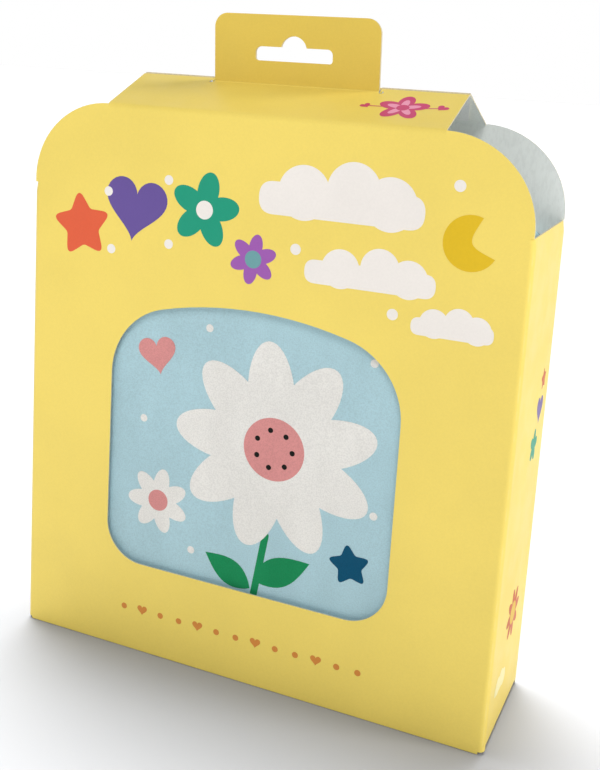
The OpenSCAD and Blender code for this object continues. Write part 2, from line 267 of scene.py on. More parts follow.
class Recipe(ShaderNodes):
    """One material's nodes, round a single shader."""

    def __init__(self, name: str) -> None:
        """Starts a material that holds only a shader and its output.

        Args:
            name: Name of the material.
        """
        self.material = bpy.data.materials.new(name)
        super().__init__(self.material)
        self.shader = self.node("ShaderNodeBsdfPrincipled")
        output = self.node("ShaderNodeOutputMaterial")
        self.join(self.shader.outputs["BSDF"], output.inputs["Surface"])
        self.place = self.node("ShaderNodeTexCoord").outputs["Object"]

    def finish(self, **values: object) -> bpy.types.Material:
        """Feeds the shader's own sockets and hands the material over.

        Args:
            **values: A socket or a plain value for each, by name, with underscores for spaces.

        Returns:
            The material.
        """
        for key, value in values.items():
            name = key.replace("_", " ").title().replace("Ior", "IOR")
            self.feed(self.shader.inputs[name], value)
        return self.material

    def noise(self, size: float, detail: float, rise: float = 1.0) -> Socket:
        """Adds a cloud of noise.

        Args:
            size: Size of its patches in metres.
            detail: How many finer layers it has.
            rise: Scale along the upright axis.

        Returns:
            The socket of its value, about 0.5 on average.
        """
        place = self.place
        if rise != 1.0:
            mapping = self.node("ShaderNodeMapping")
            self.join(place, mapping.inputs["Vector"])
            mapping.inputs["Scale"].default_value = (1.0, 1.0, rise)
            place = mapping.outputs["Vector"]
        made = self.node("ShaderNodeTexNoise")
        self.join(place, made.inputs["Vector"])
        made.inputs["Scale"].default_value = 1 / size
        made.inputs["Detail"].default_value = detail
        return made.outputs["Fac"]

    def ramp(self, value: object, span: tuple[object, object], low: float, high: float) -> Socket:
        """Maps a range of values smoothly onto another.

        Args:
            value: The socket to map.
            span: Values that give the first and the last result.
            low: Result at and below the first of them.
            high: Result at and above the last of them.

        Returns:
            The socket of the result.
        """
        made = self.node("ShaderNodeMapRange", interpolation_type="SMOOTHSTEP")
        names = ("Value", "From Min", "From Max", "To Min", "To Max")
        for name, item in zip(names, (value, *span, low, high)):
            self.feed(made.inputs[name], item)
        return made.outputs["Result"]

    def mottle(self, kind: Mottle) -> Socket:
        """Lays out a mottle and gives the socket of its value."""
        raw = self.noise(kind.size, kind.detail, kind.rise)
        return self.ramp(raw, kind.span, kind.low, kind.high)

    def tinted(self, colour: Colour, first: Socket, second: Socket) -> Socket:
        """Brightens or darkens a colour by two factors round 1.

        Args:
            colour: The colour.
            first: One factor.
            second: The other factor.

        Returns:
            The socket of the tinted colour.
        """
        made = self.node("ShaderNodeVectorMath", operation="SCALE")
        made.inputs[0].default_value = colour[:3]
        self.join(self.math("MULTIPLY", first, second), made.inputs["Scale"])
        return made.outputs["Vector"]

    def bump(self, height: Socket, depth: float, below: Socket | None = None) -> Socket:
        """Raises the surface.

        Args:
            height: Height of the relief, from 0 to 1.
            depth: Depth of the relief in metres at full height.
            below: Normal of a relief to build on.

        Returns:
            The socket of the normal.
        """
        made = self.node("ShaderNodeBump")
        made.inputs["Distance"].default_value = depth
        self.join(height, made.inputs["Height"])
        if below is not None:
            self.join(below, made.inputs["Normal"])
        return made.outputs["Normal"]

    def relief(self, kind: Relief, below: Socket | None = None) -> Socket:
        """Lays out a relief, on top of another if there is one, and gives the socket of its normal."""
        return self.bump(self.noise(kind.size, kind.detail, kind.rise), kind.depth, below)


@dataclass(frozen=True)
class PrintedCard:
    """Coated folding card, printed in one ink, with a satin varnish, and paler in patches along the upright
    folds: partly worn ink, partly painted highlight.

    Attributes:
        ink: The ink.
        half_width: Half of the case's width, which places the upright folds.
        half_depth: Half of the case's depth, which does the same.
        wear_highlight_width: Width of the paler strip beside a fold, which is partly worn ink and partly
            painted highlight.
        wear_highlight_core: Width of the part of it that is palest.
        wear_highlight_share: Share of the ink that gives way to the paler colour at most.
        wear_highlight_colour: Colour of the paler strip: bare card where the ink is worn, and painted
            highlight.
        patches: Where along a fold the card is paler.
        clouds: Slow changes of the ink's strength.
        speckle: Fine grain of the ink.
        varnish: Roughness of the varnish.
        fibres: Relief of the card's fibres.
        waves: Slow waves of the sheet.
    """

    ink: Ink
    half_width: float
    half_depth: float
    wear_highlight_width: float = 0.0011
    wear_highlight_core: float = 0.0002
    wear_highlight_share: float = 0.55
    wear_highlight_colour: Colour = shade(252, 244, 212)
    patches: Mottle = Mottle(0.006, 0.15, 1.0, 5, (0.42, 0.62))
    clouds: Mottle = Mottle(0.045, 0.975, 1.025, 3)
    speckle: Mottle = Mottle(0.0007, 0.985, 1.015, 2, (0.25, 0.75))
    varnish: Mottle = Mottle(0.012, 0.41, 0.52, 4)
    fibres: Relief = Relief(0.00045, 0.000012, 3)
    waves: Relief = Relief(0.03, 0.00045, 1)

    def material(self) -> bpy.types.Material:
        """Makes the card's material for this ink.

        Returns:
            The material.
        """
        recipe = Recipe(f"card_{self.ink.name.lower()}")
        clouds, speckle = recipe.mottle(self.clouds), recipe.mottle(self.speckle)
        colour = recipe.tinted(self.ink.value, clouds, speckle)
        # Paler card along the upright folds: partly worn ink, partly painted highlight.
        wear_highlight = recipe.math("MULTIPLY", self.fold_wear_highlight(recipe), self.wear_highlight_share)
        return recipe.finish(
            base_color=recipe.blended(wear_highlight, colour, self.wear_highlight_colour),
            roughness=recipe.mottle(self.varnish),
            normal=recipe.relief(self.waves, recipe.relief(self.fibres)),
            specular_ior_level=0.34,
            coat_weight=0.04,
            coat_roughness=0.35,
        )

    def fold_wear_highlight(self, recipe: Recipe) -> Socket:
        """Lays out where the card is paler, in patches along the upright folds: partly worn ink, partly
        painted highlight.

        Args:
            recipe: The card's nodes.

        Returns:
            The socket of its strength, from 0 to 1.
        """
        across = recipe.node("ShaderNodeSeparateXYZ")
        recipe.join(recipe.place, across.inputs[0])
        near = []
        for axis, half in (("X", self.half_width), ("Y", self.half_depth)):
            reach = recipe.math("ABSOLUTE", across.outputs[axis])
            strip = (half - self.wear_highlight_width, half - self.wear_highlight_core)
            near.append(recipe.ramp(reach, strip, 0.0, 1.0))
        fold = recipe.math("MULTIPLY", *near)
        return recipe.math("MULTIPLY", fold, recipe.mottle(self.patches))


@dataclass(frozen=True)
class RawBoard:
    """Uncoated card, such as the sheet's inner side and its cut edges.

    Attributes:
        name: Name of the material.
        colour: Colour of the board.
        fleck: How much darker its flecks are.
        clouds: Slow changes of its brightness.
        grain: Its roughness.
        fibres: Relief of its fibres.
    """

    name: str
    colour: Colour
    fleck: float = 0.05
    clouds: Mottle = Mottle(0.02, 0.97, 1.02, 4)
    grain: Mottle = Mottle(0.004, 0.8, 0.94)
    fibres: Relief = Relief(0.0006, 0.00004, 4)

    def material(self) -> bpy.types.Material:
        """Makes the bare board's material.

        Returns:
            The material.
        """
        recipe = Recipe(self.name)
        flecks = Mottle(0.0009, 1 - self.fleck, 1.01, 3, (0.32, 0.6), rise=0.35)
        return recipe.finish(
            base_color=recipe.tinted(self.colour, recipe.mottle(self.clouds), recipe.mottle(flecks)),
            roughness=recipe.mottle(self.grain),
            normal=recipe.relief(self.fibres),
            specular_ior_level=0.25,
        )


@dataclass(frozen=True)
class PlushCloth:
    """Short-pile plush, dyed or printed in one colour, with a brushed nap.

    Attributes:
        ink: Its colour.
        pile: Size of a tuft of the pile.
        tuft_detail: How many finer layers the tufts have.
        tuft_span: Levels of the tufts' noise that show as their foot and their tip.
        tuft_tone: Brightness of the foot and of the tip.
        tuft_depth: Height of a tuft.
        sheen: Strength of the sheen.
        nap: Slow changes of its brightness, where the pile is brushed.
        dullness: Its roughness.
        brushed: Relief of the brushed pile.
    """

    ink: Ink
    pile: float = 0.00055
    tuft_detail: float = 3
    tuft_span: Point = (0.28, 0.66)
    tuft_tone: Point = (0.91, 1.04)
    tuft_depth: float = 0.00024
    sheen: float = 0.22
    nap: Mottle = Mottle(0.016, 0.965, 1.03, 3, rise=0.5)
    dullness: Mottle = Mottle(0.008, 0.86, 0.97)
    brushed: Relief = Relief(0.011, 0.0008, rise=0.6)

    def material(self) -> bpy.types.Material:
        """Makes the plush's material for this colour.

        Returns:
            The material.
        """
        recipe = Recipe(f"plush_{self.ink.name.lower()}")
        tufts = recipe.noise(self.pile, self.tuft_detail)
        tone = recipe.ramp(tufts, self.tuft_span, *self.tuft_tone)
        return recipe.finish(
            base_color=recipe.tinted(self.ink.value, recipe.mottle(self.nap), tone),
            roughness=recipe.mottle(self.dullness),
            normal=recipe.relief(self.brushed, recipe.bump(tufts, self.tuft_depth)),
            sheen_weight=self.sheen,
            sheen_roughness=0.45,
            specular_ior_level=0.15,
        )


@dataclass(frozen=True)
class WovenCloth:
    """Plain-woven cloth of the leaves, with its threads crossing over and under.

    Attributes:
        name: Name of the material.
        colour: Colour of the threads.
        pitch: Distance from one raised thread to the next.
        waver: How unevenly the threads run.
        waver_scale: How finely they waver.
        weave_tone: Brightness of the gaps and of the threads.
        weave_depth: Height of the threads over the gaps.
        worn: Slow changes of its brightness.
        dullness: Its roughness.
    """

    name: str
    colour: Colour
    pitch: float = 0.00264
    waver: float = 0.6
    waver_scale: float = 2.0
    weave_tone: Point = (0.88, 1.04)
    weave_depth: float = 0.00012
    worn: Mottle = Mottle(0.013, 0.96, 1.02, 3)
    dullness: Mottle = Mottle(0.005, 0.82, 0.93)

    def material(self) -> bpy.types.Material:
        """Makes the woven cloth's material.

        Returns:
            The material.
        """
        recipe = Recipe(self.name)
        threads = []
        for direction in ("X", "Z"):
            wave = recipe.node("ShaderNodeTexWave", bands_direction=direction)
            recipe.join(recipe.place, wave.inputs["Vector"])
            wave.inputs["Scale"].default_value = math.tau / (WAVE_RATE * self.pitch)
            wave.inputs["Distortion"].default_value = self.waver
            wave.inputs["Detail Scale"].default_value = self.waver_scale
            threads.append(wave.outputs["Fac"])
        weave = recipe.math("MULTIPLY", *threads)
        tone = recipe.ramp(weave, (0.0, 1.0), *self.weave_tone)
        return recipe.finish(
            base_color=recipe.tinted(self.colour, recipe.mottle(self.worn), tone),
            roughness=recipe.mottle(self.dullness),
            normal=recipe.bump(weave, self.weave_depth),
            sheen_weight=0.15,
            sheen_roughness=0.5,
            specular_ior_level=0.2,
        )


Finish = PrintedCard | RawBoard | PlushCloth | WovenCloth


class Palette:
    """Makes each finish once and hands it out wherever it is asked for again."""

    def __init__(self, half_width: float, half_depth: float) -> None:
        """Starts with no materials.

        Args:
            half_width: Half of the case's width, which places the paler folds of worn ink and painted
                highlight.
            half_depth: Half of the case's depth, which does the same.
        """
        self.half_width = half_width
        self.half_depth = half_depth
        self.made: dict[Finish, bpy.types.Material] = {}

    def card(self, ink: Ink) -> bpy.types.Material:
        """Returns the printed card of one ink."""
        return self.of(PrintedCard(ink, self.half_width, self.half_depth))

    def plush(self, ink: Ink) -> bpy.types.Material:
        """Returns the plush of one colour."""
        return self.of(PlushCloth(ink))

    def of(self, finish: Finish) -> bpy.types.Material:
        """Makes a finish's material the first time that it is asked for.

        Args:
            finish: The finish.

        Returns:
            Its material.
        """
        if finish not in self.made:
            self.made[finish] = finish.material()
        return self.made[finish]


def polar(radius: float, angle: float) -> Point:
    """Gives the point at a distance from the origin and an angle in radians."""
    return radius * math.cos(angle), radius * math.sin(angle)


def placed(points: Sequence[Point], at: Point, turn: float = 0.0) -> Outline:
    """Turns an outline by some degrees round its own origin and moves it to its place."""
    c, s = polar(1.0, math.radians(turn))
    return [(at[0] + x * c - y * s, at[1] + x * s + y * c) for x, y in points]


def disc(at: Point, radius: float, flatten: float = 1.0, turn: float = 0.0, steps: int = 48) -> Outline:
    """Draws a circle, or an ellipse if it is flattened.

    Args:
        at: Its centre.
        radius: Its radius along its long axis.
        flatten: Its short axis as a share of the long one.
        turn: Angle of the long axis in degrees.
        steps: Number of points.

    Returns:
        The outline.
    """
    ring = [polar(radius, math.tau * k / steps) for k in range(steps)]
    return placed([(x, y * flatten) for x, y in ring], at, turn)


def softened(points: Sequence[Point], radius: float, steps: int = 7) -> Outline:
    """Rounds every corner of a polygon, drawn anticlockwise.

    Args:
        points: The corners.
        radius: Radius of the rounding, held to what the sides allow.
        steps: Facets along each rounded corner.

    Returns:
        The rounded outline.
    """
    longest_cut = 0.48
    rounded: Outline = []
    count = len(points)
    for index, point in enumerate(points):
        corner = Vector(point)
        before = Vector(points[index - 1]) - corner
        after = Vector(points[(index + 1) % count]) - corner
        half = before.angle(after) / 2
        back = min(radius / math.tan(half), longest_cut * min(before.length, after.length))
        start = corner + before.normalized() * back
        end = corner + after.normalized() * back
        for k in range(steps + 1):
            t = k / steps
            curve = start * (1 - t) ** 2 + corner * 2 * t * (1 - t) + end * t ** 2
            rounded.append((curve.x, curve.y))
    return rounded


def star(at: Point, radius: float, turn: float = 0.0, waist: float = 0.52, soft: float = 0.16) -> Outline:
    """Draws a five-pointed star with soft tips.

    Args:
        at: Its centre.
        radius: Radius of its tips.
        turn: Angle by which it leans, in degrees.
        waist: Radius between the tips as a share of theirs.
        soft: Rounding of its corners as a share of its radius.

    Returns:
        The outline.
    """
    corners = []
    for k in range(10):
        reach = radius if k % 2 == 0 else radius * waist
        corners.append(polar(reach, math.tau * k / 10 + math.pi / 2))
    return placed(softened(corners, radius * soft), at, turn)


def heart(at: Point, width: float, turn: float = 0.0, steps: int = 60) -> Outline:
    """Draws a heart by the usual sine and cosine curve, which is 32 units wide.

    Args:
        at: Its middle.
        width: Its width.
        turn: Angle by which it leans, in degrees.
        steps: Number of points.

    Returns:
        The outline.
    """
    unit = width / 32
    to_middle = 2.5
    outline = []
    for k in range(steps):
        a = -math.tau * k / steps
        height = 13 * math.cos(a) - 5 * math.cos(2 * a) - 2 * math.cos(3 * a) - math.cos(4 * a)
        outline.append((16 * math.sin(a) ** 3 * unit, (height + to_middle) * unit))
    return placed(outline, at, turn)


def petals(at: Point, radius: float, count: int, width: float, turn: float = 90.0) -> list[Outline]:
    """Draws a ring of round-ended petals.

    Args:
        at: The flower's centre.
        radius: Distance from the centre to the petals' tips.
        count: Number of petals.
        width: Width of a petal as a share of its length.
        turn: Angle of the first petal in degrees.

    Returns:
        One outline for each petal.
    """
    ring = []
    reach = radius / 2
    for k in range(count):
        angle = turn + 360 * k / count
        middle = placed([(reach, 0)], at, angle)[0]
        ring.append(disc(middle, reach, width, angle, 40))
    return ring


def cloud(at: Point, width: float, height: float) -> list[Outline]:
    """Draws a cloud as a flat-bottomed bar with three round tops.

    Args:
        at: Its middle.
        width: Its width.
        height: Its height.

    Returns:
        The outlines of the bar and of the tops, which overlap.
    """
    foot, lift, plump = height * 0.27, height * 0.1, height * 0.86
    left, right = at[0] - width / 2, at[0] + width / 2
    low = at[1] - height / 2
    high = low + 2 * foot
    parts = [softened([(left, low), (right, low), (right, high), (left, high)], foot, 12)]
    # Each top's place, as shares of the width and the height, and its radius.
    for along, up, radius in ((-0.22, 0.30, 0.52), (0.08, 0.42, 0.52), (0.30, 0.26, 0.50)):
        middle = (at[0] + along * width, low + up * height + lift)
        parts.append(disc(middle, radius * plump))
    return parts


def leaf(at: Point, length: float, width: float, turn: float, steps: int = 14) -> Outline:
    """Draws a pointed leaf.

    Args:
        at: Its stalk's end.
        length: Its length from there to its tip.
        width: Its greatest width.
        turn: Angle that it grows along, in degrees.
        steps: Facets along each side.

    Returns:
        The outline.
    """
    fullness = 0.85
    shares = [k / steps for k in range(steps + 1)]
    side = [(length * t, width / 2 * math.sin(math.pi * t ** fullness)) for t in shares]
    return placed([(x, -y) for x, y in side] + side[-2:0:-1], at, turn)


def crescent(at: Point, radius: float, turn: float = 0.0, steps: int = 28) -> Outline:
    """Draws a crescent moon, whose horns point to its right before it is turned.

    Args:
        at: Centre of its outer circle.
        radius: Radius of that circle.
        turn: Angle by which it leans, in degrees.
        steps: Facets along each of its two curves.

    Returns:
        The outline.
    """
    half_mouth, bulge, pinch = 48.0, 0.62 * radius, 0.12
    sweep = 360 - 2 * half_mouth
    points = [polar(radius, math.radians(half_mouth + sweep * k / steps)) for k in range(steps + 1)]
    start, end = Vector(points[0]), Vector(points[-1])
    for k in range(1, steps):
        t = k / steps
        base = end.lerp(start, t)
        arch = math.sin(math.pi * t)
        points.append((base.x - bulge * arch, base.y * (1 - pinch * arch)))
    return placed(points, at, turn)


def stroke(start: Point, end: Point, width: float, steps: int = 8) -> Outline:
    """Draws a bar with round ends.

    Args:
        start: Middle of its first end.
        end: Middle of its other end.
        width: Its width.
        steps: Facets round each end.

    Returns:
        The outline.
    """
    along = Vector(end) - Vector(start)
    points = []
    for x, first in ((along.length, -90), (0.0, 90)):
        for k in range(steps + 1):
            dx, dy = polar(width / 2, math.radians(first + 180 * k / steps))
            points.append((x + dx, dy))
    return placed(points, start, math.degrees(math.atan2(along.y, along.x)))


@dataclass
class PrintLayer:
    """Flat artwork in a few inks, laid on a curved surface as one thin skin.

    Attributes:
        name: Name of the skin.
        shapes: Its outlines with their inks, from the lowest to the topmost.
        grid_start: Place of the first grid point in its cell, off the outlines' own points.
    """

    name: str
    shapes: list[tuple[Ink, Outline]] = field(default_factory=list)
    grid_start: Point = (0.37, 0.41)

    def add(self, ink: Ink, *outlines: Outline) -> None:
        """Adds shapes of one ink on top of what is there."""
        self.shapes.extend((ink, outline) for outline in outlines)

    def flower(
        self, ink: Ink, at: Point, radius: float, count: int, width: float, turn: float, hub: float = 0.0
    ) -> None:
        """Adds a ring of petals, with a round middle of the same ink if it has a size.

        Args:
            ink: The petals' ink.
            at: The flower's centre.
            radius: Distance from the centre to the petals' tips.
            count: Number of petals.
            width: Width of a petal as a share of its length.
            turn: Angle of the first petal in degrees.
            hub: Radius of the middle.
        """
        self.add(ink, *petals(at, radius, count, width, turn))
        if hub:
            self.add(ink, disc(at, hub))

    def dots(self, ink: Ink, radius: float, places: Sequence[Point], steps: int = 48) -> None:
        """Adds a round dot at each of some places."""
        self.add(ink, *(disc(at, radius, steps=steps) for at in places))

    def drawing(self, grid: float) -> tuple[list[Vector], list[list[int]]]:
        """Gathers the outlines' points, and a grid of points for the skin to bend at.

        Args:
            grid: Spacing of the grid.

        Returns:
            All the points, and each outline as a list of their numbers.
        """
        points: list[Vector] = []
        loops: list[list[int]] = []
        for _, outline in self.shapes:
            loops.append(list(range(len(points), len(points) + len(outline))))
            points.extend(Vector(p) for p in outline)
        low = Vector((min(p.x for p in points), min(p.y for p in points)))
        high = Vector((max(p.x for p in points), max(p.y for p in points)))
        shift_x, shift_y = self.grid_start
        for i in range(int((high.x - low.x) / grid) + 1):
            for j in range(int((high.y - low.y) / grid) + 1):
                points.append(low + Vector(((i + shift_x) * grid, (j + shift_y) * grid)))
        return points, loops

    def build(
        self,
        lay: Callable[[float, float], Vector],
        finish: Callable[[Ink], bpy.types.Material],
        grid: float = 0.004,
    ) -> bpy.types.Object:
        """Cuts the overlapping shapes into one mesh and lays it on its surface.

        Args:
            lay: Gives the point on the surface for a point of the drawing.
            finish: Gives the material of an ink.
            grid: Spacing of the points that let the skin follow the surface.

        Returns:
            The printed skin.
        """
        points, loops = self.drawing(grid)
        verts, _, faces, _, _, owners = delaunay_2d_cdt(points, [], loops, 0, SAME_CUT)
        kept = [(face, max(owner)) for face, owner in zip(faces, owners) if owner]
        mesh = bpy.data.meshes.new(self.name)
        mesh.from_pydata([lay(v.x, v.y) for v in verts], [], [face for face, _ in kept])
        inks = list(dict.fromkeys(ink for ink, _ in self.shapes))
        for ink in inks:
            mesh.materials.append(finish(ink))
        for polygon, (_, top) in zip(mesh.polygons, kept):
            polygon.material_index = inks.index(self.shapes[top][0])
            polygon.use_smooth = True
        drop_loose(mesh)
        return add_object(self.name, mesh)


def drop_loose(mesh: bpy.types.Mesh) -> None:
    """Takes out the points that no face uses.

    Args:
        mesh: The mesh to clear of them.
    """
    work = bmesh.new()
    work.from_mesh(mesh)
    bmesh.ops.delete(work, geom=[v for v in work.verts if not v.link_faces], context="VERTS")
    work.to_mesh(mesh)
    work.free()


class CardSide(Enum):
    """What a face of the folded card shows."""

    PRINTED = 0
    BARE = 1
    CUT_EDGE = 2
    TAB = 3
    GLUED = 4


@dataclass
class FoldedCase:
    """The display case: its folded card, its tuck flap and the print on them.

    Attributes:
        palette: The finishes.
        width: The case's width.
        depth: The case's depth.
        wall_top: Height of the side walls.
        panel_top: Height of the folds between the panels and the roof.
        ridge: Height of the roof's ridge.
        card: Thickness of the card.
        tab_foot: Height above which the card is the hang tab.
        tab_half: Half of the tab's width.
        core_height: Height of a point inside the case, which the printed faces look away from.
        bulge: How far the front and back panels bow out.
        wall_share: How far the side walls do, as a share of that.
        bowed_layers: How many card thicknesses below the outside bow with it.
        ear_trim: How far the panels' upper corners draw in above the walls.
        ear_blend: Length over which they do.
        print_lift: Height of the print over the card.
        grid: Size of the finer mesh's cells.
        cut_start: Place of the first cut in its cell, off the card's own edges.
        single_layers: Card thicknesses between two faces, past which a face is a cut edge.
        glued_layers: Card thicknesses between two faces, past which two layers are glued.
        feel_depth: Depth under a face at which the card behind it is felt for.
        flat_angle: Angle in degrees under which two faces of the frame's mesh are one.
        sharp_angle: Angle in degrees from which an edge is sharp.
    """

    palette: Palette
    width: float
    depth: float
    wall_top: float = 0.194
    panel_top: float = 0.228
    ridge: float = 0.2402
    card: float = 0.0006
    tab_foot: float = 0.2386
    tab_half: float = 0.0343
    core_height: float = 0.12
    bulge: float = 0.0005
    wall_share: float = 0.8
    bowed_layers: float = 2.5
    ear_trim: float = 0.0006
    ear_blend: float = 0.02
    print_lift: float = 0.00004
    grid: float = 0.006
    cut_start: float = 0.53
    single_layers: float = 2.6
    glued_layers: float = 1.6
    feel_depth: float = 1e-5
    flat_angle: float = 0.3
    sharp_angle: float = 38.0

    @property
    def half_w(self) -> float:
        """Half of the case's width."""
        return self.width / 2

    @property
    def half_d(self) -> float:
        """Half of the case's depth."""
        return self.depth / 2

    def bow(self, point: Vector) -> Vector:
        """Gives how far the card is out of its flat place, since the soft book presses on it.

        Args:
            point: A point of the unbowed case.

        Returns:
            The shift of that point.
        """
        shift = Vector((0.0, 0.0, 0.0))
        upright = math.sin(math.pi * min(max(point.z / self.wall_top, 0.0), 1.0))
        skin = self.bowed_layers * self.card
        if abs(point.y) > self.half_d - skin:
            across = math.cos(math.pi / 2 * min(abs(point.x) / self.half_w, 1.0))
            shift.y = math.copysign(self.bulge * across * upright, point.y)
        elif abs(point.x) > self.half_w - skin:
            across = math.cos(math.pi / 2 * min(abs(point.y) / self.half_d, 1.0))
            shift.x = math.copysign(self.bulge * self.wall_share * across * upright, point.x)
        if point.z > self.wall_top and abs(point.x) > self.half_w - self.ear_blend:
            near_wall = max(1 - (point.z - self.wall_top) / self.ear_blend, 0.0)
            outward = (abs(point.x) - self.half_w + self.ear_blend) / self.ear_blend
            shift.x = -math.copysign(self.ear_trim * near_wall * outward, point.x)
        return shift

    def sliced(self, node: str) -> bmesh.types.BMesh:
        """Copies a piece of card and cuts its faces into cells, so that they can bow.

        Args:
            node: The node to copy.

        Returns:
            The finer copy.
        """
        work = bmesh.new()
        work.from_mesh(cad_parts[node].data)
        bmesh.ops.remove_doubles(work, verts=work.verts, dist=SAME_POINT)
        flat = math.radians(self.flat_angle)
        bmesh.ops.dissolve_limit(work, angle_limit=flat, verts=work.verts, edges=work.edges)
        low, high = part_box(node)
        for axis in range(3):
            normal = Vector((axis == 0, axis == 1, axis == 2))
            steps = int((high[axis] - low[axis]) / self.grid)
            for k in range(steps):
                plane = Vector((0, 0, 0))
                plane[axis] = low[axis] + (high[axis] - low[axis]) * (k + self.cut_start) / steps
                every = work.verts[:] + work.edges[:] + work.faces[:]
                bmesh.ops.bisect_plane(work, geom=every, plane_co=plane, plane_no=normal, dist=SAME_CUT)
        bmesh.ops.triangulate(work, faces=[f for f in work.faces if len(f.verts) > 4])
        return work

    def dressed(self, node: str, name: str) -> bpy.types.Object:
        """Makes a finer, bowed copy of a folded piece of card, with each face given its side.

        Args:
            node: The node that the copy stands for.
            name: Name of the copy.

        Returns:
            The finer piece.
        """
        work = self.sliced(node)
        tree = BVHTree.FromBMesh(work)
        for face in work.faces:
            face.material_index = self.side_of(face, tree).value
            face.smooth = True
        for vert in work.verts:
            vert.co += self.bow(vert.co)
        mesh = bpy.data.meshes.new(name)
        work.to_mesh(mesh)
        work.free()
        if "custom_normal" in mesh.attributes:
            mesh.attributes.remove(mesh.attributes["custom_normal"])
        mesh.set_sharp_from_angle(angle=math.radians(self.sharp_angle))
        for material in self.finishes():
            mesh.materials.append(material)
        return add_object(name, mesh)

    def finishes(self) -> list[bpy.types.Material]:
        """Lists the materials in the order of the card's sides.

        Returns:
            The materials.
        """
        return [
            self.palette.card(Ink.YELLOW),
            self.palette.of(RawBoard("card_bare", shade(246, 251, 248))),
            self.palette.of(RawBoard("card_cut_edge", shade(226, 216, 186), fleck=0.12)),
            # The hang tab's faces take the deeper gold, which is painted shade.
            self.palette.card(Ink.TAB_SHADED_GOLD),
            # The glued flap is the bare board made lighter: painted light, for a flap that catches more light
            # than the slope beside it.
            self.palette.of(RawBoard("card_glued_flap_painted_light", shade(250, 252, 252))),
        ]

    def side_of(self, face: bmesh.types.BMFace, tree: BVHTree) -> CardSide:
        """Tells a printed face from a bare one and from a cut edge, by the card behind it.

        Args:
            face: The face.
            tree: The whole piece, to feel through.

        Returns:
            What the face shows.
        """
        middle = face.calc_center_median()
        just_inside = middle - face.normal * self.feel_depth
        through = tree.ray_cast(just_inside, -face.normal)[3]
        if through is None or through > self.single_layers * self.card:
            return CardSide.CUT_EDGE
        upright = abs(face.normal.y) > 0.8
        if middle.z > self.tab_foot and abs(middle.x) < self.tab_half and upright:
            return CardSide.TAB
        if face.normal.dot(middle - Vector((0, 0, self.core_height))) > 0:
            return CardSide.PRINTED
        if middle.z > self.panel_top and through > self.glued_layers * self.card:
            return CardSide.GLUED
        return CardSide.BARE

    def on_front(self, x: float, z: float) -> Vector:
        """Places a point of a drawing on the front panel."""
        flat = Vector((x, -self.half_d, z))
        return flat + self.bow(flat) - Vector((0, self.print_lift, 0))

    def on_right(self, y: float, z: float) -> Vector:
        """Places a point of a drawing on the right wall."""
        flat = Vector((self.half_w, y, z))
        return flat + self.bow(flat) + Vector((self.print_lift, 0, 0))

    def on_roof(self, x: float, run: float) -> Vector:
        """Places a point of a drawing on the front roof slope.

        Args:
            x: Its place across the roof.
            run: Its distance up the slope from the fold.

        Returns:
            The point, just above the card.
        """
        slope = math.atan2(self.ridge - self.panel_top, self.half_d)
        uphill = Vector((0, math.cos(slope), math.sin(slope)))
        normal = Vector((0, -math.sin(slope), math.cos(slope)))
        foot = Vector((x, -self.half_d, self.panel_top))
        return foot + uphill * run + normal * self.print_lift

    def front_print(self) -> PrintLayer:
        """Draws the front panel: toys and clouds above the window, and a row of dots below it.

        Returns:
            The artwork, in the panel's own width and height.
        """
        art = PrintLayer("front_print")
        bloom, small_bloom = (-0.0235, 0.1905), (-0.0020, 0.1740)
        art.add(Ink.CORAL, star((-0.0785, 0.1785), 0.0150, 8))
        art.add(Ink.PURPLE, heart((-0.0540, 0.1870), 0.0275, -6))
        art.flower(Ink.GREEN, bloom, 0.0148, 5, 0.62, 80, hub=0.0062)
        art.add(Ink.WHITE, disc(bloom, 0.0036))
        near_toys = ((-0.0665, 0.1935), (-0.0395, 0.2005), (-0.0645, 0.1705), (-0.0385, 0.1755))
        art.dots(Ink.WHITE, 0.0019, near_toys)
        art.flower(Ink.VIOLET, small_bloom, 0.0098, 6, 0.56, 20)
        art.add(Ink.TEAL, disc(small_bloom, 0.0034))
        art.add(Ink.WHITE, *cloud((0.0310, 0.2035), 0.0640, 0.0230))
        art.add(Ink.WHITE, *cloud((0.0440, 0.1765), 0.0500, 0.0165))
        art.add(Ink.WHITE, *cloud((0.0760, 0.1610), 0.0300, 0.0120))
        art.dots(Ink.WHITE, 0.0021, ((0.0745, 0.2095), (0.0150, 0.1800), (0.0540, 0.1610)))
        art.add(Ink.GOLD, crescent((0.0800, 0.1900), 0.0100, 20))
        row_start, row_height, row_step = -0.0530, 0.0186, 0.0087
        for k in range(13):
            at = (row_start + row_step * k, row_height)
            art.add(Ink.ORANGE, heart(at, 0.0046) if k % 3 == 1 else disc(at, 0.0013, steps=24))
        return art

    def wall_print(self) -> PrintLayer:
        """Draws the right wall: the same toys, small, with a sun and a cloud low down.

        Returns:
            The artwork, in the wall's own depth and height.
        """
        art = PrintLayer("wall_print")
        bloom, sun = (0.0070, 0.1100), (0.0010, 0.0440)
        art.add(Ink.RUST, star((0.0150, 0.1345), 0.0050, 6))
        art.add(Ink.PURPLE, heart((0.0125, 0.1225), 0.0120, -5))
        art.flower(Ink.GREEN, bloom, 0.0066, 5, 0.62, 80, hub=0.0028)
        art.flower(Ink.RUST, sun, 0.0105, 8, 0.40, 10)
        art.add(Ink.GOLD, disc(sun, 0.0046))
        art.add(Ink.CREAM, *cloud((-0.0105, 0.0215), 0.0170, 0.0080))
        return art

